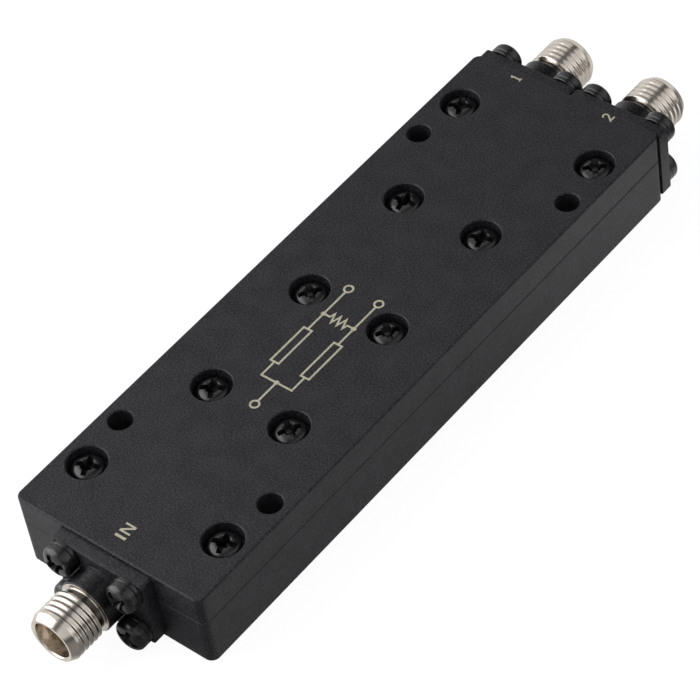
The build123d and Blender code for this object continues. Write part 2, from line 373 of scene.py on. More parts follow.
markInk = makePlain(
    "markInk", low=colour(0.36, 0.34, 0.25), high=colour(0.56, 0.53, 0.42), size=0.14 * mm,
    roughness=0.6, spread=0.2, depth=0.003 * mm)
print("materials made:", len(materials) + 1)


# Meshes

sharpFrom = 32    # degrees between two faces, from which their edge stays crisp
noLead = 1.0      # stands in where the end of a thread has the radius of its crest, and needs no lead


def addObject(name, data):
    made = bpy.data.objects.new(name, data)
    bpy.context.scene.collection.objects.link(made)
    return made


def asPiece(name, mesh, material, replaced):
    # A finished mesh as a piece of the model, with soft curves and crisp corners
    mesh.materials.clear()
    mesh.materials.append(material)
    mesh.polygons.foreach_set("use_smooth", [True] * len(mesh.polygons))
    mesh.polygons.foreach_set("material_index", [0] * len(mesh.polygons))
    mesh.set_sharp_from_angle(angle=math.radians(sharpFrom))
    piece = addObject(name, mesh)
    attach(piece, "root")
    if replaced:
        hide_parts(replaced)
    return piece


def meshOf(bm, name):
    # Closes the shell: doubles merged, faces outwards
    bmesh.ops.remove_doubles(bm, verts=bm.verts, dist=mergeGap)
    bmesh.ops.dissolve_degenerate(bm, dist=mergeGap, edges=bm.edges)
    bmesh.ops.recalc_face_normals(bm, faces=bm.faces)
    openEdges = sum(1 for edge in bm.edges if len(edge.link_faces) != 2)
    mesh = bpy.data.meshes.new(name)
    bm.to_mesh(mesh)
    bm.free()
    print(" ", name, len(mesh.polygons), "faces,", openEdges, "open edges")
    return mesh


def circlePoints(radius, count):
    step = 2 * math.pi / count
    return [(radius * math.cos(i * step), radius * math.sin(i * step)) for i in range(count)]


def ring(bm, radius, height, count):
    return [bm.verts.new((x, y, height)) for x, y in circlePoints(radius, count)]


def bridge(bm, first, second):
    # Quads between two loops of as many points
    for i in range(len(first)):
        j = (i + 1) % len(first)
        bm.faces.new((first[i], first[j], second[j], second[i]))


def turned(bm, profile, count):
    # A turned surface along a half section of (radius, height) points; returns its first and last loop
    loops = [ring(bm, radius, height, count) for radius, height in profile]
    for first, second in zip(loops, loops[1:]):
        bridge(bm, first, second)
    return loops[0], loops[-1]


def softened(points, reach, steps=4):
    # The same line with each inner corner rounded, reach being how far back the curve starts
    line = [Vector(p) for p in points]
    spare = 0.45    # no curve takes more of a side than this
    result = [line[0]]
    for before, corner, after in zip(line, line[1:], line[2:]):
        room = min(reach, spare * (before - corner).length, spare * (after - corner).length)
        start = corner + room * (before - corner).normalized()
        finish = corner + room * (after - corner).normalized()
        for i in range(steps + 1):
            t = i / steps
            result.append(start * (1 - t) ** 2 + corner * 2 * t * (1 - t) + finish * t ** 2)
    result.append(line[-1])
    return [tuple(p) for p in result]


def loopEdges(bm, loop):
    return [bm.edges.get(pair) or bm.edges.new(pair) for pair in zip(loop, loop[1:] + loop[:1])]


def fillBetween(bm, loops):
    # A flat face inside the first loop, with the others as holes
    edges = [edge for loop in loops for edge in loopEdges(bm, loop)]
    bmesh.ops.triangle_fill(bm, use_beauty=True, use_dissolve=False, edges=edges)


def quarterTurn(steps):
    # A rounded edge in even steps, each as 1 less its cosine and 1 less its sine
    angles = [math.pi / 2 * i / steps for i in range(steps + 1)]
    return [(1 - math.cos(angle), 1 - math.sin(angle)) for angle in angles]


def roundedRectangle(bm, width, height, radius, inset, level, steps):
    # A loop of points; the inset moves every side inwards
    points = []
    for corner, (signX, signY) in enumerate(((1, 1), (-1, 1), (-1, -1), (1, -1))):
        centreX = signX * (width / 2 - radius)
        centreY = signY * (height / 2 - radius)
        for i in range(steps + 1):
            angle = math.pi / 2 * (corner + i / steps)
            reach = radius - inset
            points.append(bm.verts.new((
                centreX + reach * math.cos(angle), centreY + reach * math.sin(angle), level)))
    return points


# Geometry Nodes helpers

def newTree(name, inputs):
    tree = bpy.data.node_groups.new(name, "GeometryNodeTree")
    tree.interface.new_socket(name="Geometry", in_out="OUTPUT", socket_type="NodeSocketGeometry")
    for label, kind in inputs:
        tree.interface.new_socket(name=label, in_out="INPUT", socket_type="NodeSocket" + kind)
    graph = Wire(tree)
    entry = graph.node("NodeGroupInput")
    return tree, graph, entry.out


def runTree(tree, values, mesh=None):
    # Evaluates the tree once on a bare object and returns the result as a plain mesh
    carrier = addObject("carrier", mesh or bpy.data.meshes.new("carrier"))
    modifier = carrier.modifiers.new("nodes", "NODES")
    modifier.node_group = tree
    for item in tree.interface.items_tree:
        if item.in_out == "INPUT" and item.name in values:
            modifier[item.identifier] = values[item.name]
    ready = carrier.evaluated_get(bpy.context.evaluated_depsgraph_get())
    result = bpy.data.meshes.new_from_object(ready)
    carrier.modifiers.remove(modifier)
    bpy.data.objects.remove(carrier)
    return result


def makeThreadTree():
    # A tube along Z with a screw thread. The rows of its grid follow the helix, so the crests stay sharp,
    # and at both ends they fold onto a plain ring that the neighbouring surface shares.
    tree, graph, entry = newTree("threadedTube", [
        ("Crest Radius", "Float"), ("Root Radius", "Float"), ("Pitch", "Float"),
        ("Start", "Float"), ("End", "Float"), ("Start Radius", "Float"), ("Lead In", "Float"),
        ("End Radius", "Float"), ("Lead Out", "Float"), ("Fade Out", "Float"),
        ("Columns", "Int"), ("Rows Per Pitch", "Int"), ("Material", "Material"),
    ])
    crest, root, pitch = entry("Crest Radius"), entry("Root Radius"), entry("Pitch")
    start, end = entry("Start"), entry("End")
    columns, rowsPerPitch = entry("Columns"), entry("Rows Per Pitch")
    rows = graph.math("CEIL", ((end - start) / pitch + 1) * rowsPerPitch) + 1
    grid = graph.node("GeometryNodeMeshGrid", {}, {"Vertices X": rows, "Vertices Y": columns + 1})
    index = graph.node("GeometryNodeInputIndex")
    row = graph.math("FLOOR", index / (columns + 1))
    turnShare = (index - row * (columns + 1)) / columns
    phase = row / rowsPerPitch
    height = (start + pitch * (phase - 1 + turnShare)).most(start).least(end)
    # The profile goes by the distance from the crest: flat on it and at the root, smooth between them
    fromCrest = abs(graph.math("FRACT", phase) - 0.5) * 2
    crestFlat, rootFlat = 0.1, 0.9
    groove = fromCrest.ramp(crestFlat, rootFlat)
    fade = height.ramp(end, end - entry("Fade Out"))
    threadRadius = crest - (crest - root) * groove * fade
    leadIn = entry("Start Radius") + (crest - entry("Start Radius")) * (height - start) / entry("Lead In")
    leadOut = entry("End Radius") + (crest - entry("End Radius")) * (end - height) / entry("Lead Out")
    radius = threadRadius.least(leadIn).least(leadOut)
    angle = turnShare * (2 * math.pi)
    place = graph.node("ShaderNodeCombineXYZ", {}, {
        "X": radius * graph.math("COSINE", angle),
        "Y": radius * graph.math("SINE", angle),
        "Z": height,
    })
    bent = graph.node("GeometryNodeSetPosition", {}, {"Geometry": grid, "Position": place})
    merged = graph.node("GeometryNodeMergeByDistance", {}, {"Geometry": bent, "Distance": mergeGap})
    real = graph.node("GeometryNodeRealizeInstances", {}, {"Geometry": merged})
    finished = graph.node("GeometryNodeSetMaterial", {}, {"Geometry": real, "Material": entry("Material")})
    graph.node("NodeGroupOutput", {}, {"Geometry": finished})
    return tree


def makeScrewTree():
    # One screw on each point, turned as its point says and by a seeded random angle
    tree, graph, entry = newTree("screwSet", [
        ("Points", "Geometry"), ("Screw", "Object"), ("Turn Spread", "Float"), ("Seed", "Int"),
        ("Material", "Material"),
    ])
    screw = graph.node("GeometryNodeObjectInfo", {"transform_space": "ORIGINAL"}, {"Object": entry("Screw")},
                       "Geometry")
    chance = graph.node("FunctionNodeRandomValue", {"data_type": "FLOAT"}, {
        2: entry("Turn Spread") * -1, 3: entry("Turn Spread"), "Seed": entry("Seed"),
    }, 1)
    left = graph.node("GeometryNodeInputNamedAttribute", {"data_type": "FLOAT"}, {"Name": "turn"}, 0)
    turn = graph.node("ShaderNodeCombineXYZ", {}, {"Z": left + chance})
    placed = graph.node("GeometryNodeInstanceOnPoints", {}, {
        "Points": entry("Points"), "Instance": screw, "Rotation": turn,
    })
    real = graph.node("GeometryNodeRealizeInstances", {}, {"Geometry": placed})
    finished = graph.node("GeometryNodeSetMaterial", {}, {"Geometry": real, "Material": entry("Material")})
    graph.node("NodeGroupOutput", {}, {"Geometry": finished})
    return tree


threadTree = makeThreadTree()
screwTree = makeScrewTree()


# Screws

screwSizes = dict(
    headRadius=1.9 * mm,
    headHeight=1.55 * mm,
    rimHeight=0.7 * mm,        # straight side of the head, under the dome
    edgeBreak=0.1 * mm,
    domeFlatness=3,            # more keeps the middle flat and the shoulder near the rim
    domePower=0.5,             # less makes the shoulder fuller
    recessSpan=2.8 * mm,
    recessWidth=0.72 * mm,
    recessDepth=1.35 * mm,
    recessWall=0.06 * mm,      # how far a recess wall leans
    recessSlope=2.2,           # the ends of the wings slope down to the floor
    socketRadius=0.78 * mm,    # cone in the middle of the cross
    socketSlope=3,
    threadStart=0.3 * mm,
    threadRadius=1.0 * mm,
    threadRoot=0.78 * mm,
    threadPitch=0.4 * mm,
    threadColumns=24,
    threadRows=8,
    tipBreak=0.22 * mm,
    tipInset=0.02 * mm,
    wingSteps=7,
    outerSteps=11,
    washerHole=1.15 * mm,
    washerThickness=0.53 * mm,
    washerBreak=0.07 * mm,
    washerSplit=7,             # half the opening of the spring washer, in degrees
    washerLean=5,              # the cut leans by this many degrees over the thickness
    washerSteps=56,
)


def gridLines(sizes):
    # Where the lines of the head's grid lie, from -1 to 1, with a line on each edge of the recess
    def inward(distance):
        return math.asin(distance / sizes["headRadius"]) / (math.pi / 2)

    floorEdge = inward(sizes["recessWidth"] / 2 - sizes["recessWall"])
    topEdge = inward(sizes["recessWidth"] / 2)
    wingEnd = inward(sizes["recessSpan"] / 2)
    half = [0.5 * floorEdge, floorEdge, topEdge]
    half += [topEdge + (wingEnd - topEdge) * (i + 1) / sizes["wingSteps"] for i in range(sizes["wingSteps"])]
    half += [wingEnd + (1 - wingEnd) * (i + 1) / sizes["outerSteps"] for i in range(sizes["outerSteps"])]
    return [-v for v in reversed(half)] + [0.0] + half, floorEdge, topEdge


def headPoint(sizes, x, y, floorEdge, topEdge):
    # A point of the grid's square goes to the disc of the head, and then up to the dome or down the recess
    u = x * math.sqrt(1 - y * y / 2)
    v = y * math.sqrt(1 - x * x / 2)
    share = math.hypot(u, v)
    radius = sizes["headRadius"] * math.sin(share * math.pi / 2)
    stretch = radius / share if share else 0
    px, py = u * stretch, v * stretch
    dome = sizes["headHeight"] - sizes["rimHeight"]
    fall = max(0, 1 - (radius / sizes["headRadius"]) ** sizes["domeFlatness"])
    height = sizes["rimHeight"] + dome * fall ** sizes["domePower"]
    depth = 0
    for along, across in ((px, y), (py, x)):
        reach = (sizes["recessSpan"] / 2 - abs(along)) * sizes["recessSlope"]
        wall = min(1, max(0, (topEdge - abs(across)) / (topEdge - floorEdge)))
        depth = max(depth, min(sizes["recessDepth"], reach) * wall)
    cone = (sizes["socketRadius"] - math.hypot(px, py)) * sizes["socketSlope"]
    depth = max(depth, min(sizes["recessDepth"], cone))
    return px, py, height - depth


def addWasher(bm, sizes):
    # A split spring washer under the head: one section carried round, with a leaning cut
    radius, hole = sizes["headRadius"], sizes["washerHole"]
    thickness, edge = sizes["washerThickness"], sizes["washerBreak"]
    section = [
        (hole, -edge), (hole + edge, 0), (radius - edge, 0), (radius, -edge),
        (radius, edge - thickness), (radius - edge, -thickness),
        (hole + edge, -thickness), (hole, edge - thickness),
    ]
    loops = []
    for i in range(sizes["washerSteps"] + 1):
        share = i / sizes["washerSteps"]
        loop = []
        for distance, height in section:
            lean = sizes["washerLean"] * (height / thickness + 0.5) * (1 - 2 * share)
            start = sizes["washerSplit"] + lean
            angle = math.radians(start + share * (360 - 2 * sizes["washerSplit"] - 2 * lean))
            loop.append(bm.verts.new((distance * math.cos(angle), distance * math.sin(angle), height)))
        loops.append(loop)
    for first, second in zip(loops, loops[1:]):
        bridge(bm, first, second)
    bm.faces.new(loops[0])
    bm.faces.new(loops[-1])


def makeScrew(name, length, withWasher):
    # The head is a grid that follows the cross recess, and the shank carries a cut thread
    sizes = screwSizes
    lines, floorEdge, topEdge = gridLines(sizes)
    bm = bmesh.new()
    grid = [[bm.verts.new(headPoint(sizes, x, y, floorEdge, topEdge)) for x in lines] for y in lines]
    last = len(lines) - 1
    for i in range(last):
        for j in range(last):
            bm.faces.new((grid[i][j], grid[i][j + 1], grid[i + 1][j + 1], grid[i + 1][j]))
    edge = [grid[0][j] for j in range(last)] + [grid[i][last] for i in range(last)]
    edge += [grid[last][j] for j in range(last, 0, -1)] + [grid[i][0] for i in range(last, 0, -1)]
    loops = [edge]
    for shrink, level in ((0, sizes["edgeBreak"]), (sizes["edgeBreak"], 0)):
        scale = (sizes["headRadius"] - shrink) / sizes["headRadius"]
        loops.append([bm.verts.new((p.co.x * scale, p.co.y * scale, level)) for p in edge])
    bridge(bm, loops[0], loops[1])
    bridge(bm, loops[1], loops[2])
    neck = ring(bm, sizes["threadRadius"], 0, sizes["threadColumns"])
    fillBetween(bm, [loops[2], neck])
    threadStart = sizes["threadStart"]
    collar = ring(bm, sizes["threadRadius"], -threadStart, sizes["threadColumns"])
    bridge(bm, neck, collar)
    tipRadius = sizes["threadRoot"] - sizes["tipInset"]
    thread = runTree(threadTree, {
        "Crest Radius": sizes["threadRadius"], "Root Radius": sizes["threadRoot"],
        "Pitch": sizes["threadPitch"], "Start": threadStart, "End": length,
        "Start Radius": sizes["threadRadius"], "Lead In": noLead,
        "End Radius": tipRadius, "Lead Out": sizes["tipBreak"], "Fade Out": sizes["tipBreak"],
        "Columns": sizes["threadColumns"], "Rows Per Pitch": sizes["threadRows"],
        "Material": materials["black_screws"],
    })
    thread.transform(Matrix.Rotation(math.pi, 4, "X"))
    bm.from_mesh(thread)
    tip = ring(bm, tipRadius, -length, sizes["threadColumns"])
    bm.faces.new(tip)
    if withWasher:
        addWasher(bm, sizes)
    return bpy.data.objects.new(name, meshOf(bm, name))


def looseParts(node):
    # Lowest and highest corner of each separate solid in a node
    bm = bmesh.new()
    bm.from_mesh(nodes[node].data)
    bmesh.ops.remove_doubles(bm, verts=bm.verts, dist=mergeGap)
    waiting = set(bm.verts)
    boxes = []
    while waiting:
        frontShadow = [waiting.pop()]
        found = []
        while frontShadow:
            vert = frontShadow.pop()
            found.append(vert.co.copy())
            for edge in vert.link_edges:
                other = edge.other_vert(vert)
                if other in waiting:
                    waiting.remove(other)
                    frontShadow.append(other)
        low = Vector([min(p[axis] for p in found) for axis in range(3)])
        high = Vector([max(p[axis] for p in found) for axis in range(3)])
        boxes.append((low, high))
    bm.free()
    return boxes


def screwSeats(node, toLocal):
    # Where the undersides of the heads are, in the order of their rows, and how far the shanks reach
    seats = []
    for low, high in looseParts(node):
        corners = [toLocal @ low, toLocal @ high]
        middle = (corners[0] + corners[1]) / 2
        whole = abs(corners[0].z - corners[1].z)
        if whole > 2 * screwSizes["headHeight"]:
            length = whole - screwSizes["headHeight"]
            seats.append(Vector((middle.x, middle.y, middle.z + whole / 2 - screwSizes["headHeight"])))
    seats.sort(key=lambda seat: (round(seat.y / mm), seat.x))
    return seats, length


def screwSet(name, node, toLocal, toWorld, turns, spread, seed, withWasher):
    # Screws of a node, seated where the node has them, heads towards the local Z
    seats, length = screwSeats(node, toLocal)
    points = bpy.data.meshes.new(name + "Points")
    points.from_pydata(seats, [], [])
    turn = points.attributes.new("turn", "FLOAT", "POINT")
    turn.data.foreach_set("value", [math.radians(angle) for angle in turns])
    screw = makeScrew(name + "Master", length, withWasher)
    mesh = runTree(screwTree, {
        "Screw": screw, "Turn Spread": math.radians(spread), "Seed": seed,
        "Material": materials["black_screws"],
    }, points)
    bpy.data.objects.remove(screw)
    mesh.transform(toWorld)
    return asPiece(name, mesh, materials["black_screws"], node)


coverScrewTurns = (21, 17, 30, 60, 53, 52, 6, 18, 26, 41)   # degrees, from the input end, left before right
still = Matrix.Identity(4)
screwSet("coverScrews", "cover_screws", still, still, coverScrewTurns, spread=0, seed=1, withWasher=False)
print("cover screws made")


# Connectors

connectorSizes = dict(
    columns=96,
    flangeThickness=1.57 * mm,
    flangeCorner=0.45 * mm,
    flangeEdge=0.15 * mm,
    flangeBackEdge=0.04 * mm,
    cornerSteps=6,
    edgeSteps=3,                # facets of a rounded edge
    turnedEdge=0.07 * mm,       # how far back the corners of the outside are rounded
    boredEdge=0.06 * mm,        # and those of the mouth and the bore
    screwHole=1.15 * mm,
    screwHoleSteps=24,
    neckRadius=3.3 * mm,
    neckFillet=0.1 * mm,
    collarEnd=4.3 * mm,
    collarChamfer=0.15 * mm,
    undercutRadius=2.65 * mm,
    threadLead=0.4 * mm,
    threadStart=5.3 * mm,
    threadRadius=3.175 * mm,
    threadRoot=3.075 * mm,
    threadPitch=0.7056 * mm,    # 36 turns to 25.4 mm
    threadRows=16,
    threadFade=0.45 * mm,
    threadEnd=8.5 * mm,         # a smooth band follows, up to the chamfer at the tip
    bandEnd=8.65 * mm,
    rimRadius=2.75 * mm,
    socketRadius=2.3 * mm,
    socketChamfer=0.15 * mm,
    socketDepth=2.0 * mm,
    airLineRadius=1.46 * mm,
    beadSeatRadius=1.8 * mm,
    beadSeatEnd=2.6 * mm,
)


def portFrame(port):
    # Where a connector stands: X across its flange, Y up, Z outwards from the end face
    low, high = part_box(port + "_connector_body")
    side = 1 if high.y > 0 else -1
    middle = (low + high) / 2
    toWorld = Matrix((
        (-side, 0, 0, middle.x),
        (0, 0, side, side * endY),
        (0, 1, 0, middle.z),
        (0, 0, 0, 1),
    ))
    return toWorld, high.x - low.x, high.z - low.z, high.y - low.y


def makeFlange(bm, width, height, screwPlaces, neckLoop, seatLoop):
    # A plate with rounded corners and broken edges, four screw holes and the barrel through its middle
    sizes = connectorSizes
    thickness = sizes["flangeThickness"]

    def outline(inset, level):
        return roundedRectangle(
            bm, width, height, sizes["flangeCorner"], inset, level, sizes["cornerSteps"])

    back, frontShadow = sizes["flangeBackEdge"], sizes["flangeEdge"]
    loops = [outline(back, 0), outline(0, back)]
    for inwards, down in quarterTurn(sizes["edgeSteps"]):
        loops.append(outline(frontShadow * inwards, thickness - frontShadow * down))
    for first, second in zip(loops, loops[1:]):
        bridge(bm, first, second)
    holes = []
    for x, y in screwPlaces:
        pair = []
        for level in (0, thickness):
            loop = ring(bm, sizes["screwHole"], level, sizes["screwHoleSteps"])
            bmesh.ops.translate(bm, vec=(x, y, 0), verts=loop)
            pair.append(loop)
        bridge(bm, *pair)
        holes.append(pair)
    fillBetween(bm, [loops[0], seatLoop] + [hole[0] for hole in holes])
    fillBetween(bm, [loops[-1], neckLoop] + [hole[1] for hole in holes])


def makeConnector(port):
    sizes = connectorSizes
    toWorld, width, height, tip = portFrame(port)
    toLocal = toWorld.inverted()
    seats, _ = screwSeats(port + "_flange_screws", toLocal)
    bm = bmesh.new()
    face = sizes["flangeThickness"]
    fillet = sizes["neckFillet"]
    radius = sizes["neckRadius"]
    steps = quarterTurn(sizes["edgeSteps"])
    neck = [(radius + fillet * outwards, face + fillet * up) for up, outwards in steps]
    threadLow = sizes["threadStart"] - sizes["threadLead"]
    undercut = sizes["undercutRadius"]
    collar = softened([
        neck[-1],
        (radius, sizes["collarEnd"] - sizes["collarChamfer"]),
        (radius - sizes["collarChamfer"], sizes["collarEnd"]),
        (undercut, sizes["collarEnd"]),
        (undercut, threadLow),
    ], sizes["turnedEdge"])
    neckLoop, _ = turned(bm, neck[:-1] + collar, sizes["columns"])
    crest = sizes["threadRadius"]
    plane = tip - sizes["socketDepth"]
    mouth = sizes["socketRadius"] + sizes["socketChamfer"]
    inside = softened([
        (crest, sizes["threadEnd"]),
        (crest, sizes["bandEnd"]),
        (sizes["rimRadius"], tip),
        (mouth, tip),
        (sizes["socketRadius"], tip - sizes["socketChamfer"]),
        (sizes["socketRadius"], plane),
        (sizes["airLineRadius"], plane),
        (sizes["airLineRadius"], sizes["beadSeatEnd"]),
        (sizes["beadSeatRadius"], sizes["beadSeatEnd"]),
        (sizes["beadSeatRadius"], 0),
    ], sizes["boredEdge"])
    _, seatLoop = turned(bm, inside, sizes["columns"])
    makeFlange(bm, width, height, [(seat.x, seat.y) for seat in seats], neckLoop, seatLoop)
    thread = runTree(threadTree, {
        "Crest Radius": crest, "Root Radius": sizes["threadRoot"], "Pitch": sizes["threadPitch"],
        "Start": threadLow, "End": sizes["threadEnd"], "Start Radius": undercut,
        "Lead In": sizes["threadLead"], "End Radius": crest, "Lead Out": noLead,
        "Fade Out": sizes["threadFade"], "Columns": sizes["columns"],
        "Rows Per Pitch": sizes["threadRows"], "Material": materials["connector_steel"],
    })
    bm.from_mesh(thread)
    mesh = meshOf(bm, port + "Connector")
    mesh.transform(toWorld)
    steel = materials["connector_steel"]
    asPiece(port + "Connector", mesh, steel, port + "_connector_body")
    turns = [0] * len(seats)
    screwSet(port + "FlangeScrews", port + "_flange_screws", toLocal, toWorld, turns,
             spread=180, seed=7, withWasher=True)


for port in ("input", "output_1", "output_2"):
    makeConnector(port)
print("connectors made")


# CAD pieces that keep their shape get their finish here

for piece in nodes.values():
    for slot in piece.material_slots:
        slot.material = materials[slot.material.name.split(".")[0]]
print("finishes given to the packed pieces")


# Marks on the cover, in the order of reading: along +Y, with their tops towards -X

marks = dict(
    thickness=0.012 * mm,
    stroke=0.24 * mm,
    mitreLimit=0.35,            # keeps sharp corners of a line from running far out
    ringRadius=0.5 * mm,
    ringSteps=28,
    height=1.42 * mm,           # of the port labels
)
portLabels = dict(
    input=(0.3 * mm, -36.62 * mm),
    output_1=(-6.47 * mm, 38.64 * mm),
    output_2=(6.28 * mm, 38.92 * mm),
)
# Circuit sign in the middle of the cover: one line splits in two arms that a resistor bridges
sign = dict(
    middle=(0.3 * mm, -6.9 * mm),
    halfLength=9.2 * mm,
    splitAt=-5.6 * mm,
    armSpread=2.1 * mm,
    boxFrom=-3.4 * mm,
    boxTo=2.2 * mm,
    boxHalf=0.55 * mm,
    bridgeAt=4.9 * mm,
    zigzagReach=0.6 * mm,
    zigzagHalf=1.2 * mm,
    zigzagTeeth=6,
    dotRadius=0.3 * mm,
    dotJoin=0.9,                # lines stop at this share of a dot's radius
)


def inkPlate(bm, outline):
    # A flat closed plate with the given outline
    low = [bm.verts.new((x, y, 0)) for x, y in outline]
    high = [bm.verts.new((x, y, marks["thickness"])) for x, y in outline]
    bridge(bm, low, high)
    for loop in (low, high):
        face = bm.faces.new(loop)
        face.normal_update()
        bmesh.ops.triangulate(bm, faces=[face])


def inkLine(bm, path, width, closed=False):
    # A line of even width with mitred corners
    points = [Vector(point) for point in path]
    count = len(points)
    loops = []
    for i, point in enumerate(points):
        before = points[i - 1] if closed or i else 2 * point - points[1]
        after = points[(i + 1) % count] if closed or i < count - 1 else 2 * point - points[i - 1]
        along = ((point - before).normalized() + (after - point).normalized()).normalized()
        reach = width / 2 / max(marks["mitreLimit"], along.dot((after - point).normalized()))
        side = reach * Vector((-along.y, along.x))
        corners = [(point + side, 0), (point + side, marks["thickness"]),
                   (point - side, marks["thickness"]), (point - side, 0)]
        loops.append([bm.verts.new((*place, level)) for place, level in corners])
    for first, second in zip(loops, loops[1:] + loops[:1] if closed else loops[1:]):
        bridge(bm, first, second)
    if not closed:
        bm.faces.new(loops[0])
        bm.faces.new(loops[-1])


def circle(x, y, radius):
    return [(x + dx, y + dy) for dx, dy in circlePoints(radius, marks["ringSteps"])]


def inkMark(name, draw, x, y):
    # Draws a mark around its middle and lays it on the cover
    bm = bmesh.new()
    draw(bm)
    mesh = meshOf(bm, name)
    mesh.transform(Matrix.Translation((x, y, topZ)) @ Matrix.Rotation(math.pi / 2, 4, "Z"))
    return asPiece(name, mesh, markInk, None)


def drawInput(bm):
    # The letters for the input
    high = marks["height"] / 2
    barLow, barHigh = -1.09 * mm, -0.76 * mm
    inkPlate(bm, [(barLow, -high), (barHigh, -high), (barHigh, high), (barLow, high)])
    low, far = -0.36 * mm, 0.9 * mm
    stem, slant = 0.23 * mm, 0.3 * mm
    drop = 2 * high * stem / (far - low - slant)
    inkPlate(bm, [
        (low, -high), (low + stem, -high), (low + stem, high - drop), (far - slant, -high), (far, -high),
        (far, high), (far - stem, high), (far - stem, drop - high), (low + slant, high), (low, high),
    ])


def drawOne(bm):
    high = marks["height"] / 2
    half, foot, footHeight = 0.11 * mm, 0.27 * mm, 0.15 * mm
    flagTop, flagTip = 0.4 * half, 2.4 * half    # the slanted stroke at the top
    under, underDrop, joinDrop = 1.6 * half, 3.5 * half, 3 * half
    inkPlate(bm, [
        (-foot, -high), (foot, -high), (foot, footHeight - high), (half, footHeight - high), (half, high),
        (-flagTop, high), (-flagTip, high - flagTip), (-under, high - underDrop),
        (-half, high - joinDrop), (-half, footHeight - high), (-foot, footHeight - high),
    ])


def drawTwo(bm):
    high = marks["height"] / 2
    width = 0.2 * mm
    radius = 0.33 * mm
    middleX, left, right = -0.04 * mm, -0.36 * mm, 0.42 * mm
    arcStart, arcStep, arcPoints = 165, 14, 15    # degrees, degrees and how many
    middle = Vector((middleX, high - width / 2 - radius))
    path = []
    for i in range(arcPoints):
        angle = math.radians(arcStart - i * arcStep)
        path.append(middle + radius * Vector((math.cos(angle), math.sin(angle))))
    base = width / 2 - high
    path += [Vector((left, base)), Vector((right, base))]
    inkLine(bm, path, width)


def drawSign(bm):
    stroke, ringRadius = marks["stroke"], marks["ringRadius"]
    end, spread, bridgeAt = sign["halfLength"], sign["armSpread"], sign["bridgeAt"]
    gap = ringRadius + stroke / 2
    dot = sign["dotJoin"] * sign["dotRadius"]
    split = sign["splitAt"]
    inkLine(bm, circle(-end, 0, ringRadius), stroke, True)
    inkLine(bm, [(gap - end, 0), (split - dot, 0)], stroke)
    inkPlate(bm, circle(split, 0, sign["dotRadius"]))
    low, high, half = sign["boxFrom"], sign["boxTo"], sign["boxHalf"]
    edge = stroke / 2
    for side in (-1, 1):
        arm = side * spread
        inkLine(bm, [(split, side * dot), (split, arm), (low - edge, arm)], stroke)
        box = [(low, arm - half), (high, arm - half), (high, arm + half), (low, arm + half)]
        inkLine(bm, box, stroke, True)
        inkLine(bm, [(high + edge, arm), (bridgeAt - dot, arm)], stroke)
        inkPlate(bm, circle(bridgeAt, arm, sign["dotRadius"]))
        inkLine(bm, [(bridgeAt + dot, arm), (end - gap, arm)], stroke)
        inkLine(bm, circle(end, arm, ringRadius), stroke, True)
    top, reach, teeth = sign["zigzagHalf"], sign["zigzagReach"], sign["zigzagTeeth"]
    step = 2 * top / teeth
    zigzag = [(bridgeAt, spread - dot), (bridgeAt, top)]
    zigzag += [(bridgeAt + reach * (-1) ** i, top - (i + 0.5) * step) for i in range(teeth)]
    zigzag += [(bridgeAt, -top), (bridgeAt, dot - spread)]
    inkLine(bm, zigzag, stroke)


inkMark("labelInput", drawInput, *portLabels["input"])
inkMark("labelOutput1", drawOne, *portLabels["output_1"])
inkMark("labelOutput2", drawTwo, *portLabels["output_2"])
inkMark("circuitSign", drawSign, *sign["middle"])
print("marks made")


# Floor, world, lamps and camera

studio = dict(
    floorSize=6.0,
    floorDrop=0.02 * mm,
    floorTone=0.5,          # of the floor as the part reflects it
    floorBase=0.36,         # and the light that it gives by itself
    # Painted shadow and light on the floor as the part reflects it: darker to the right of the output
    # connectors and in front of the input end, lighter to the right of the output end of the body
    floorEnds=0.2,          # the part of both that is left to the right of the output connectors
    floorFront=0.3,         # and in front of the input end on the right
    floorBack=1.6,          # and to the right of the output end of the body
    backZone=(0, 1.05),     # where these changes come in, in half lengths of the housing
    endsZone=(1.1, 1.35),
    frontZone=(-0.95, -1.05),
    sideZone=(0.4, 1.1),    # and in half widths
    frontSide=(0, 0.4),
    floorGlow=0.93,         # seen directly, this much of its white is even
    floorShadow=0.15,       # and this much is lit, and so keeps the shadow
    worldLight=0.5,
    leftTone=0.8,           # of the left panel
    rightTone=0.7,
    gapSide=7,              # degrees towards +X from straight up to the dark gap between the overhead panels
    gapWidth=14,            # half the width of the gap, in degrees
    gapCore=0.45,           # the gap is even over this part of its width
    gapTone=0.12,
    gapRise=(0.25, 0.45),   # it comes in between these heights of the sky
    backSlopes=(0.6, 0.68),   # the left panel ends towards +Y between these slopes
    backRise=(0.1, 0.4),
    backSide=(0.0, -0.1),
    backTone=0.04,
    rimHeights=(0.36, 0.22),   # the right panel ends between these heights above the floor
    rimSide=(0.2, 0.4),
    panelBlend=(0, 0.2),    # the tone goes from the left panel's to the right one's between these
)


def zone(wire, ends, length):
    # 0 before a zone of the floor and 1 behind it, its ends being shares of a length
    return wire.ramp(ends[0] * length, ends[1] * length)


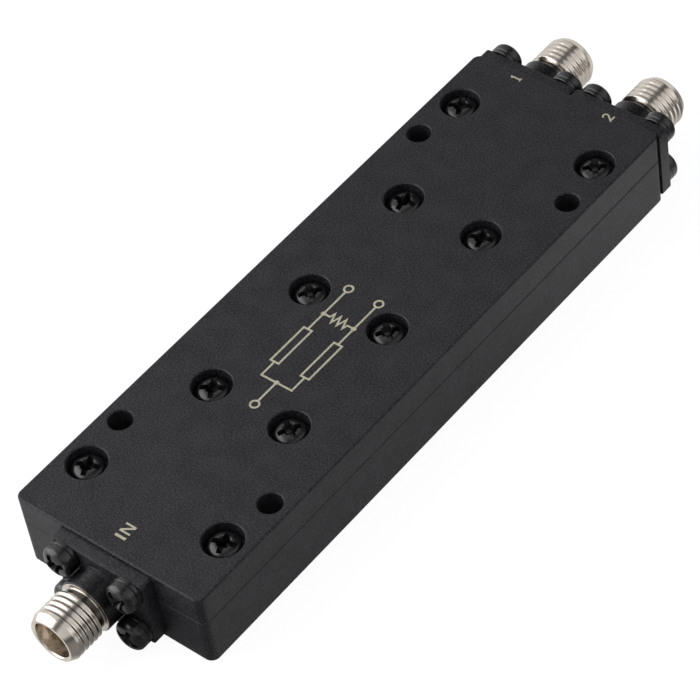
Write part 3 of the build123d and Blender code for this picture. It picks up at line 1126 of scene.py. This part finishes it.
def makeFloor():
    mesh = bpy.data.meshes.new("floor")
    half = studio["floorSize"] / 2
    level = housingLow.z - studio["floorDrop"]
    corners = [(-half, -half, level), (half, -half, level), (half, half, level), (-half, half, level)]
    mesh.from_pydata(corners, [], [(0, 1, 2, 3)])
    material, graph, place = newMaterial("paleFloor")
    across = place.axis("X")
    along = across.out("Y")
    # painted shadow and painted light: the floor's reflected tone drops beside the connectors and rises
    # beside the far end of the body
    ends, back = studio["floorEnds"], studio["floorBack"]
    backLight = zone(along, studio["backZone"], endY) * (back - 1)
    change = backLight - zone(along, studio["endsZone"], endY) * (back - ends)
    corner = zone(across, studio["frontSide"], sideX) * zone(along, studio["frontZone"], endY)
    frontShadow = corner * (1 - studio["floorFront"])
    share = (1 + zone(across, studio["sideZone"], sideX) * change) * (1 - frontShadow)
    tone, base = share * studio["floorTone"], share * studio["floorBase"]
    scattered = graph.node("ShaderNodeBsdfDiffuse", {}, {"Color": grey(graph, tone)})
    # painted light: the floor also glows a little by itself
    given = graph.node("ShaderNodeEmission", {}, {"Color": grey(graph, base), "Strength": 1.0})
    bounce = graph.node("ShaderNodeAddShader", {}, {0: scattered, 1: given})
    lit = studio["floorShadow"]
    shadow = graph.node("ShaderNodeBsdfDiffuse", {}, {"Color": colour(lit, lit, lit)})
    glow = graph.node("ShaderNodeEmission", {}, {"Color": colour(1, 1, 1), "Strength": studio["floorGlow"]})
    seen = graph.node("ShaderNodeAddShader", {}, {0: shadow, 1: glow})
    straight = graph.node("ShaderNodeLightPath", {}, {}, "Is Camera Ray")
    finishMaterial(material, graph, graph.node("ShaderNodeMixShader", {}, {0: straight, 1: bounce, 2: seen}))
    mesh.materials.append(material)
    floor = addObject("floor", mesh)


def makeWorld():
    # Even light on everything, a white sky for the camera, and panels with a gap for what is reflected
    world = bpy.data.worlds.new("studio")
    world.use_nodes = True
    world.node_tree.nodes.clear()
    graph = Wire(world.node_tree)
    level = studio["worldLight"]
    soft = graph.node("ShaderNodeBackground", {}, {"Color": colour(1, 1, 1), "Strength": level})
    direction = graph.node("ShaderNodeTexCoord", {}, {}, "Generated")
    slope = direction.axis("Y")
    height = slope.out("Z")
    side = math.radians(studio["gapSide"])
    across = graph.node("ShaderNodeVectorMath", {"operation": "DOT_PRODUCT"}, {
        0: direction, 1: (math.cos(side), 0, -math.sin(side)),
    }, "Value")
    gapEdge = math.sin(math.radians(studio["gapWidth"]))
    gap = abs(across).ramp(gapEdge, studio["gapCore"] * gapEdge) * height.ramp(*studio["gapRise"])
    back = slope.ramp(*studio["backSlopes"]) * height.ramp(*studio["backRise"])
    back = back * across.ramp(*studio["backSide"])
    rim = height.ramp(*studio["rimHeights"]) * across.ramp(*studio["rimSide"])
    gapLoss, backLoss = 1 - studio["gapTone"], 1 - studio["backTone"]
    lit = (1 - gap * gapLoss) * (1 - rim * gapLoss) * (1 - back * backLoss)
    rise = across.ramp(*studio["panelBlend"]) * (studio["rightTone"] - studio["leftTone"])
    panel = lit * (studio["leftTone"] + rise)
    path = graph.node("ShaderNodeLightPath", {}, {}, "Is Glossy Ray")
    tone = path.blendColour(colour(1, 1, 1), grey(graph, panel))
    white = graph.node("ShaderNodeBackground", {}, {"Color": tone, "Strength": 1.0})
    seen = path.most(path.out("Is Camera Ray")).most(path.out("Is Transmission Ray"))
    surface = graph.node("ShaderNodeMixShader", {}, {0: seen, 1: soft, 2: white})
    graph.node("ShaderNodeOutputWorld", {}, {"Surface": surface})
    bpy.context.scene.world = world


def makeLamp(name, place, size, power):
    lamp = bpy.data.lights.new(name, "AREA")
    lamp.shape = "SQUARE"
    lamp.size = size
    lamp.energy = power
    holder = addObject(name, lamp)
    holder.location = place
    holder.rotation_euler = (-Vector(place)).to_track_quat("-Z", "Y").to_euler()


lamps = (    # metres and watts
    dict(name="leftLamp", place=(-0.15, -0.115, 0.11), size=0.25, power=0.47),
    dict(name="rightLamp", place=(0.24, 0.12, 0.1), size=0.24, power=0.07),
)

view = dict(
    target=(0.567 * mm, -1.362 * mm, 5.0 * mm),
    place=(173.575 * mm, -165.952 * mm, 259.107 * mm),
    roll=-10.156,           # degrees that the camera leans
    lens=165.479,
)


def makeCamera():
    camera = bpy.data.cameras.new("camera")
    camera.lens = view["lens"]
    holder = addObject("camera", camera)
    place = Vector(view["place"])
    forward = (Vector(view["target"]) - place).normalized()
    level = forward.cross(Vector((0, 0, 1))).normalized()
    lift = level.cross(forward)
    roll = math.radians(view["roll"])
    right = level * math.cos(roll) + lift * math.sin(roll)
    up = right.cross(forward)
    holder.matrix_world = Matrix((
        (right.x, up.x, -forward.x, place.x),
        (right.y, up.y, -forward.y, place.y),
        (right.z, up.z, -forward.z, place.z),
        (0, 0, 0, 1),
    ))
    bpy.context.scene.camera = holder


makeFloor()
makeWorld()
for lamp in lamps:
    makeLamp(**lamp)
makeCamera()
bpy.context.scene.view_settings.view_transform = "Standard"
print("floor, light and camera made")
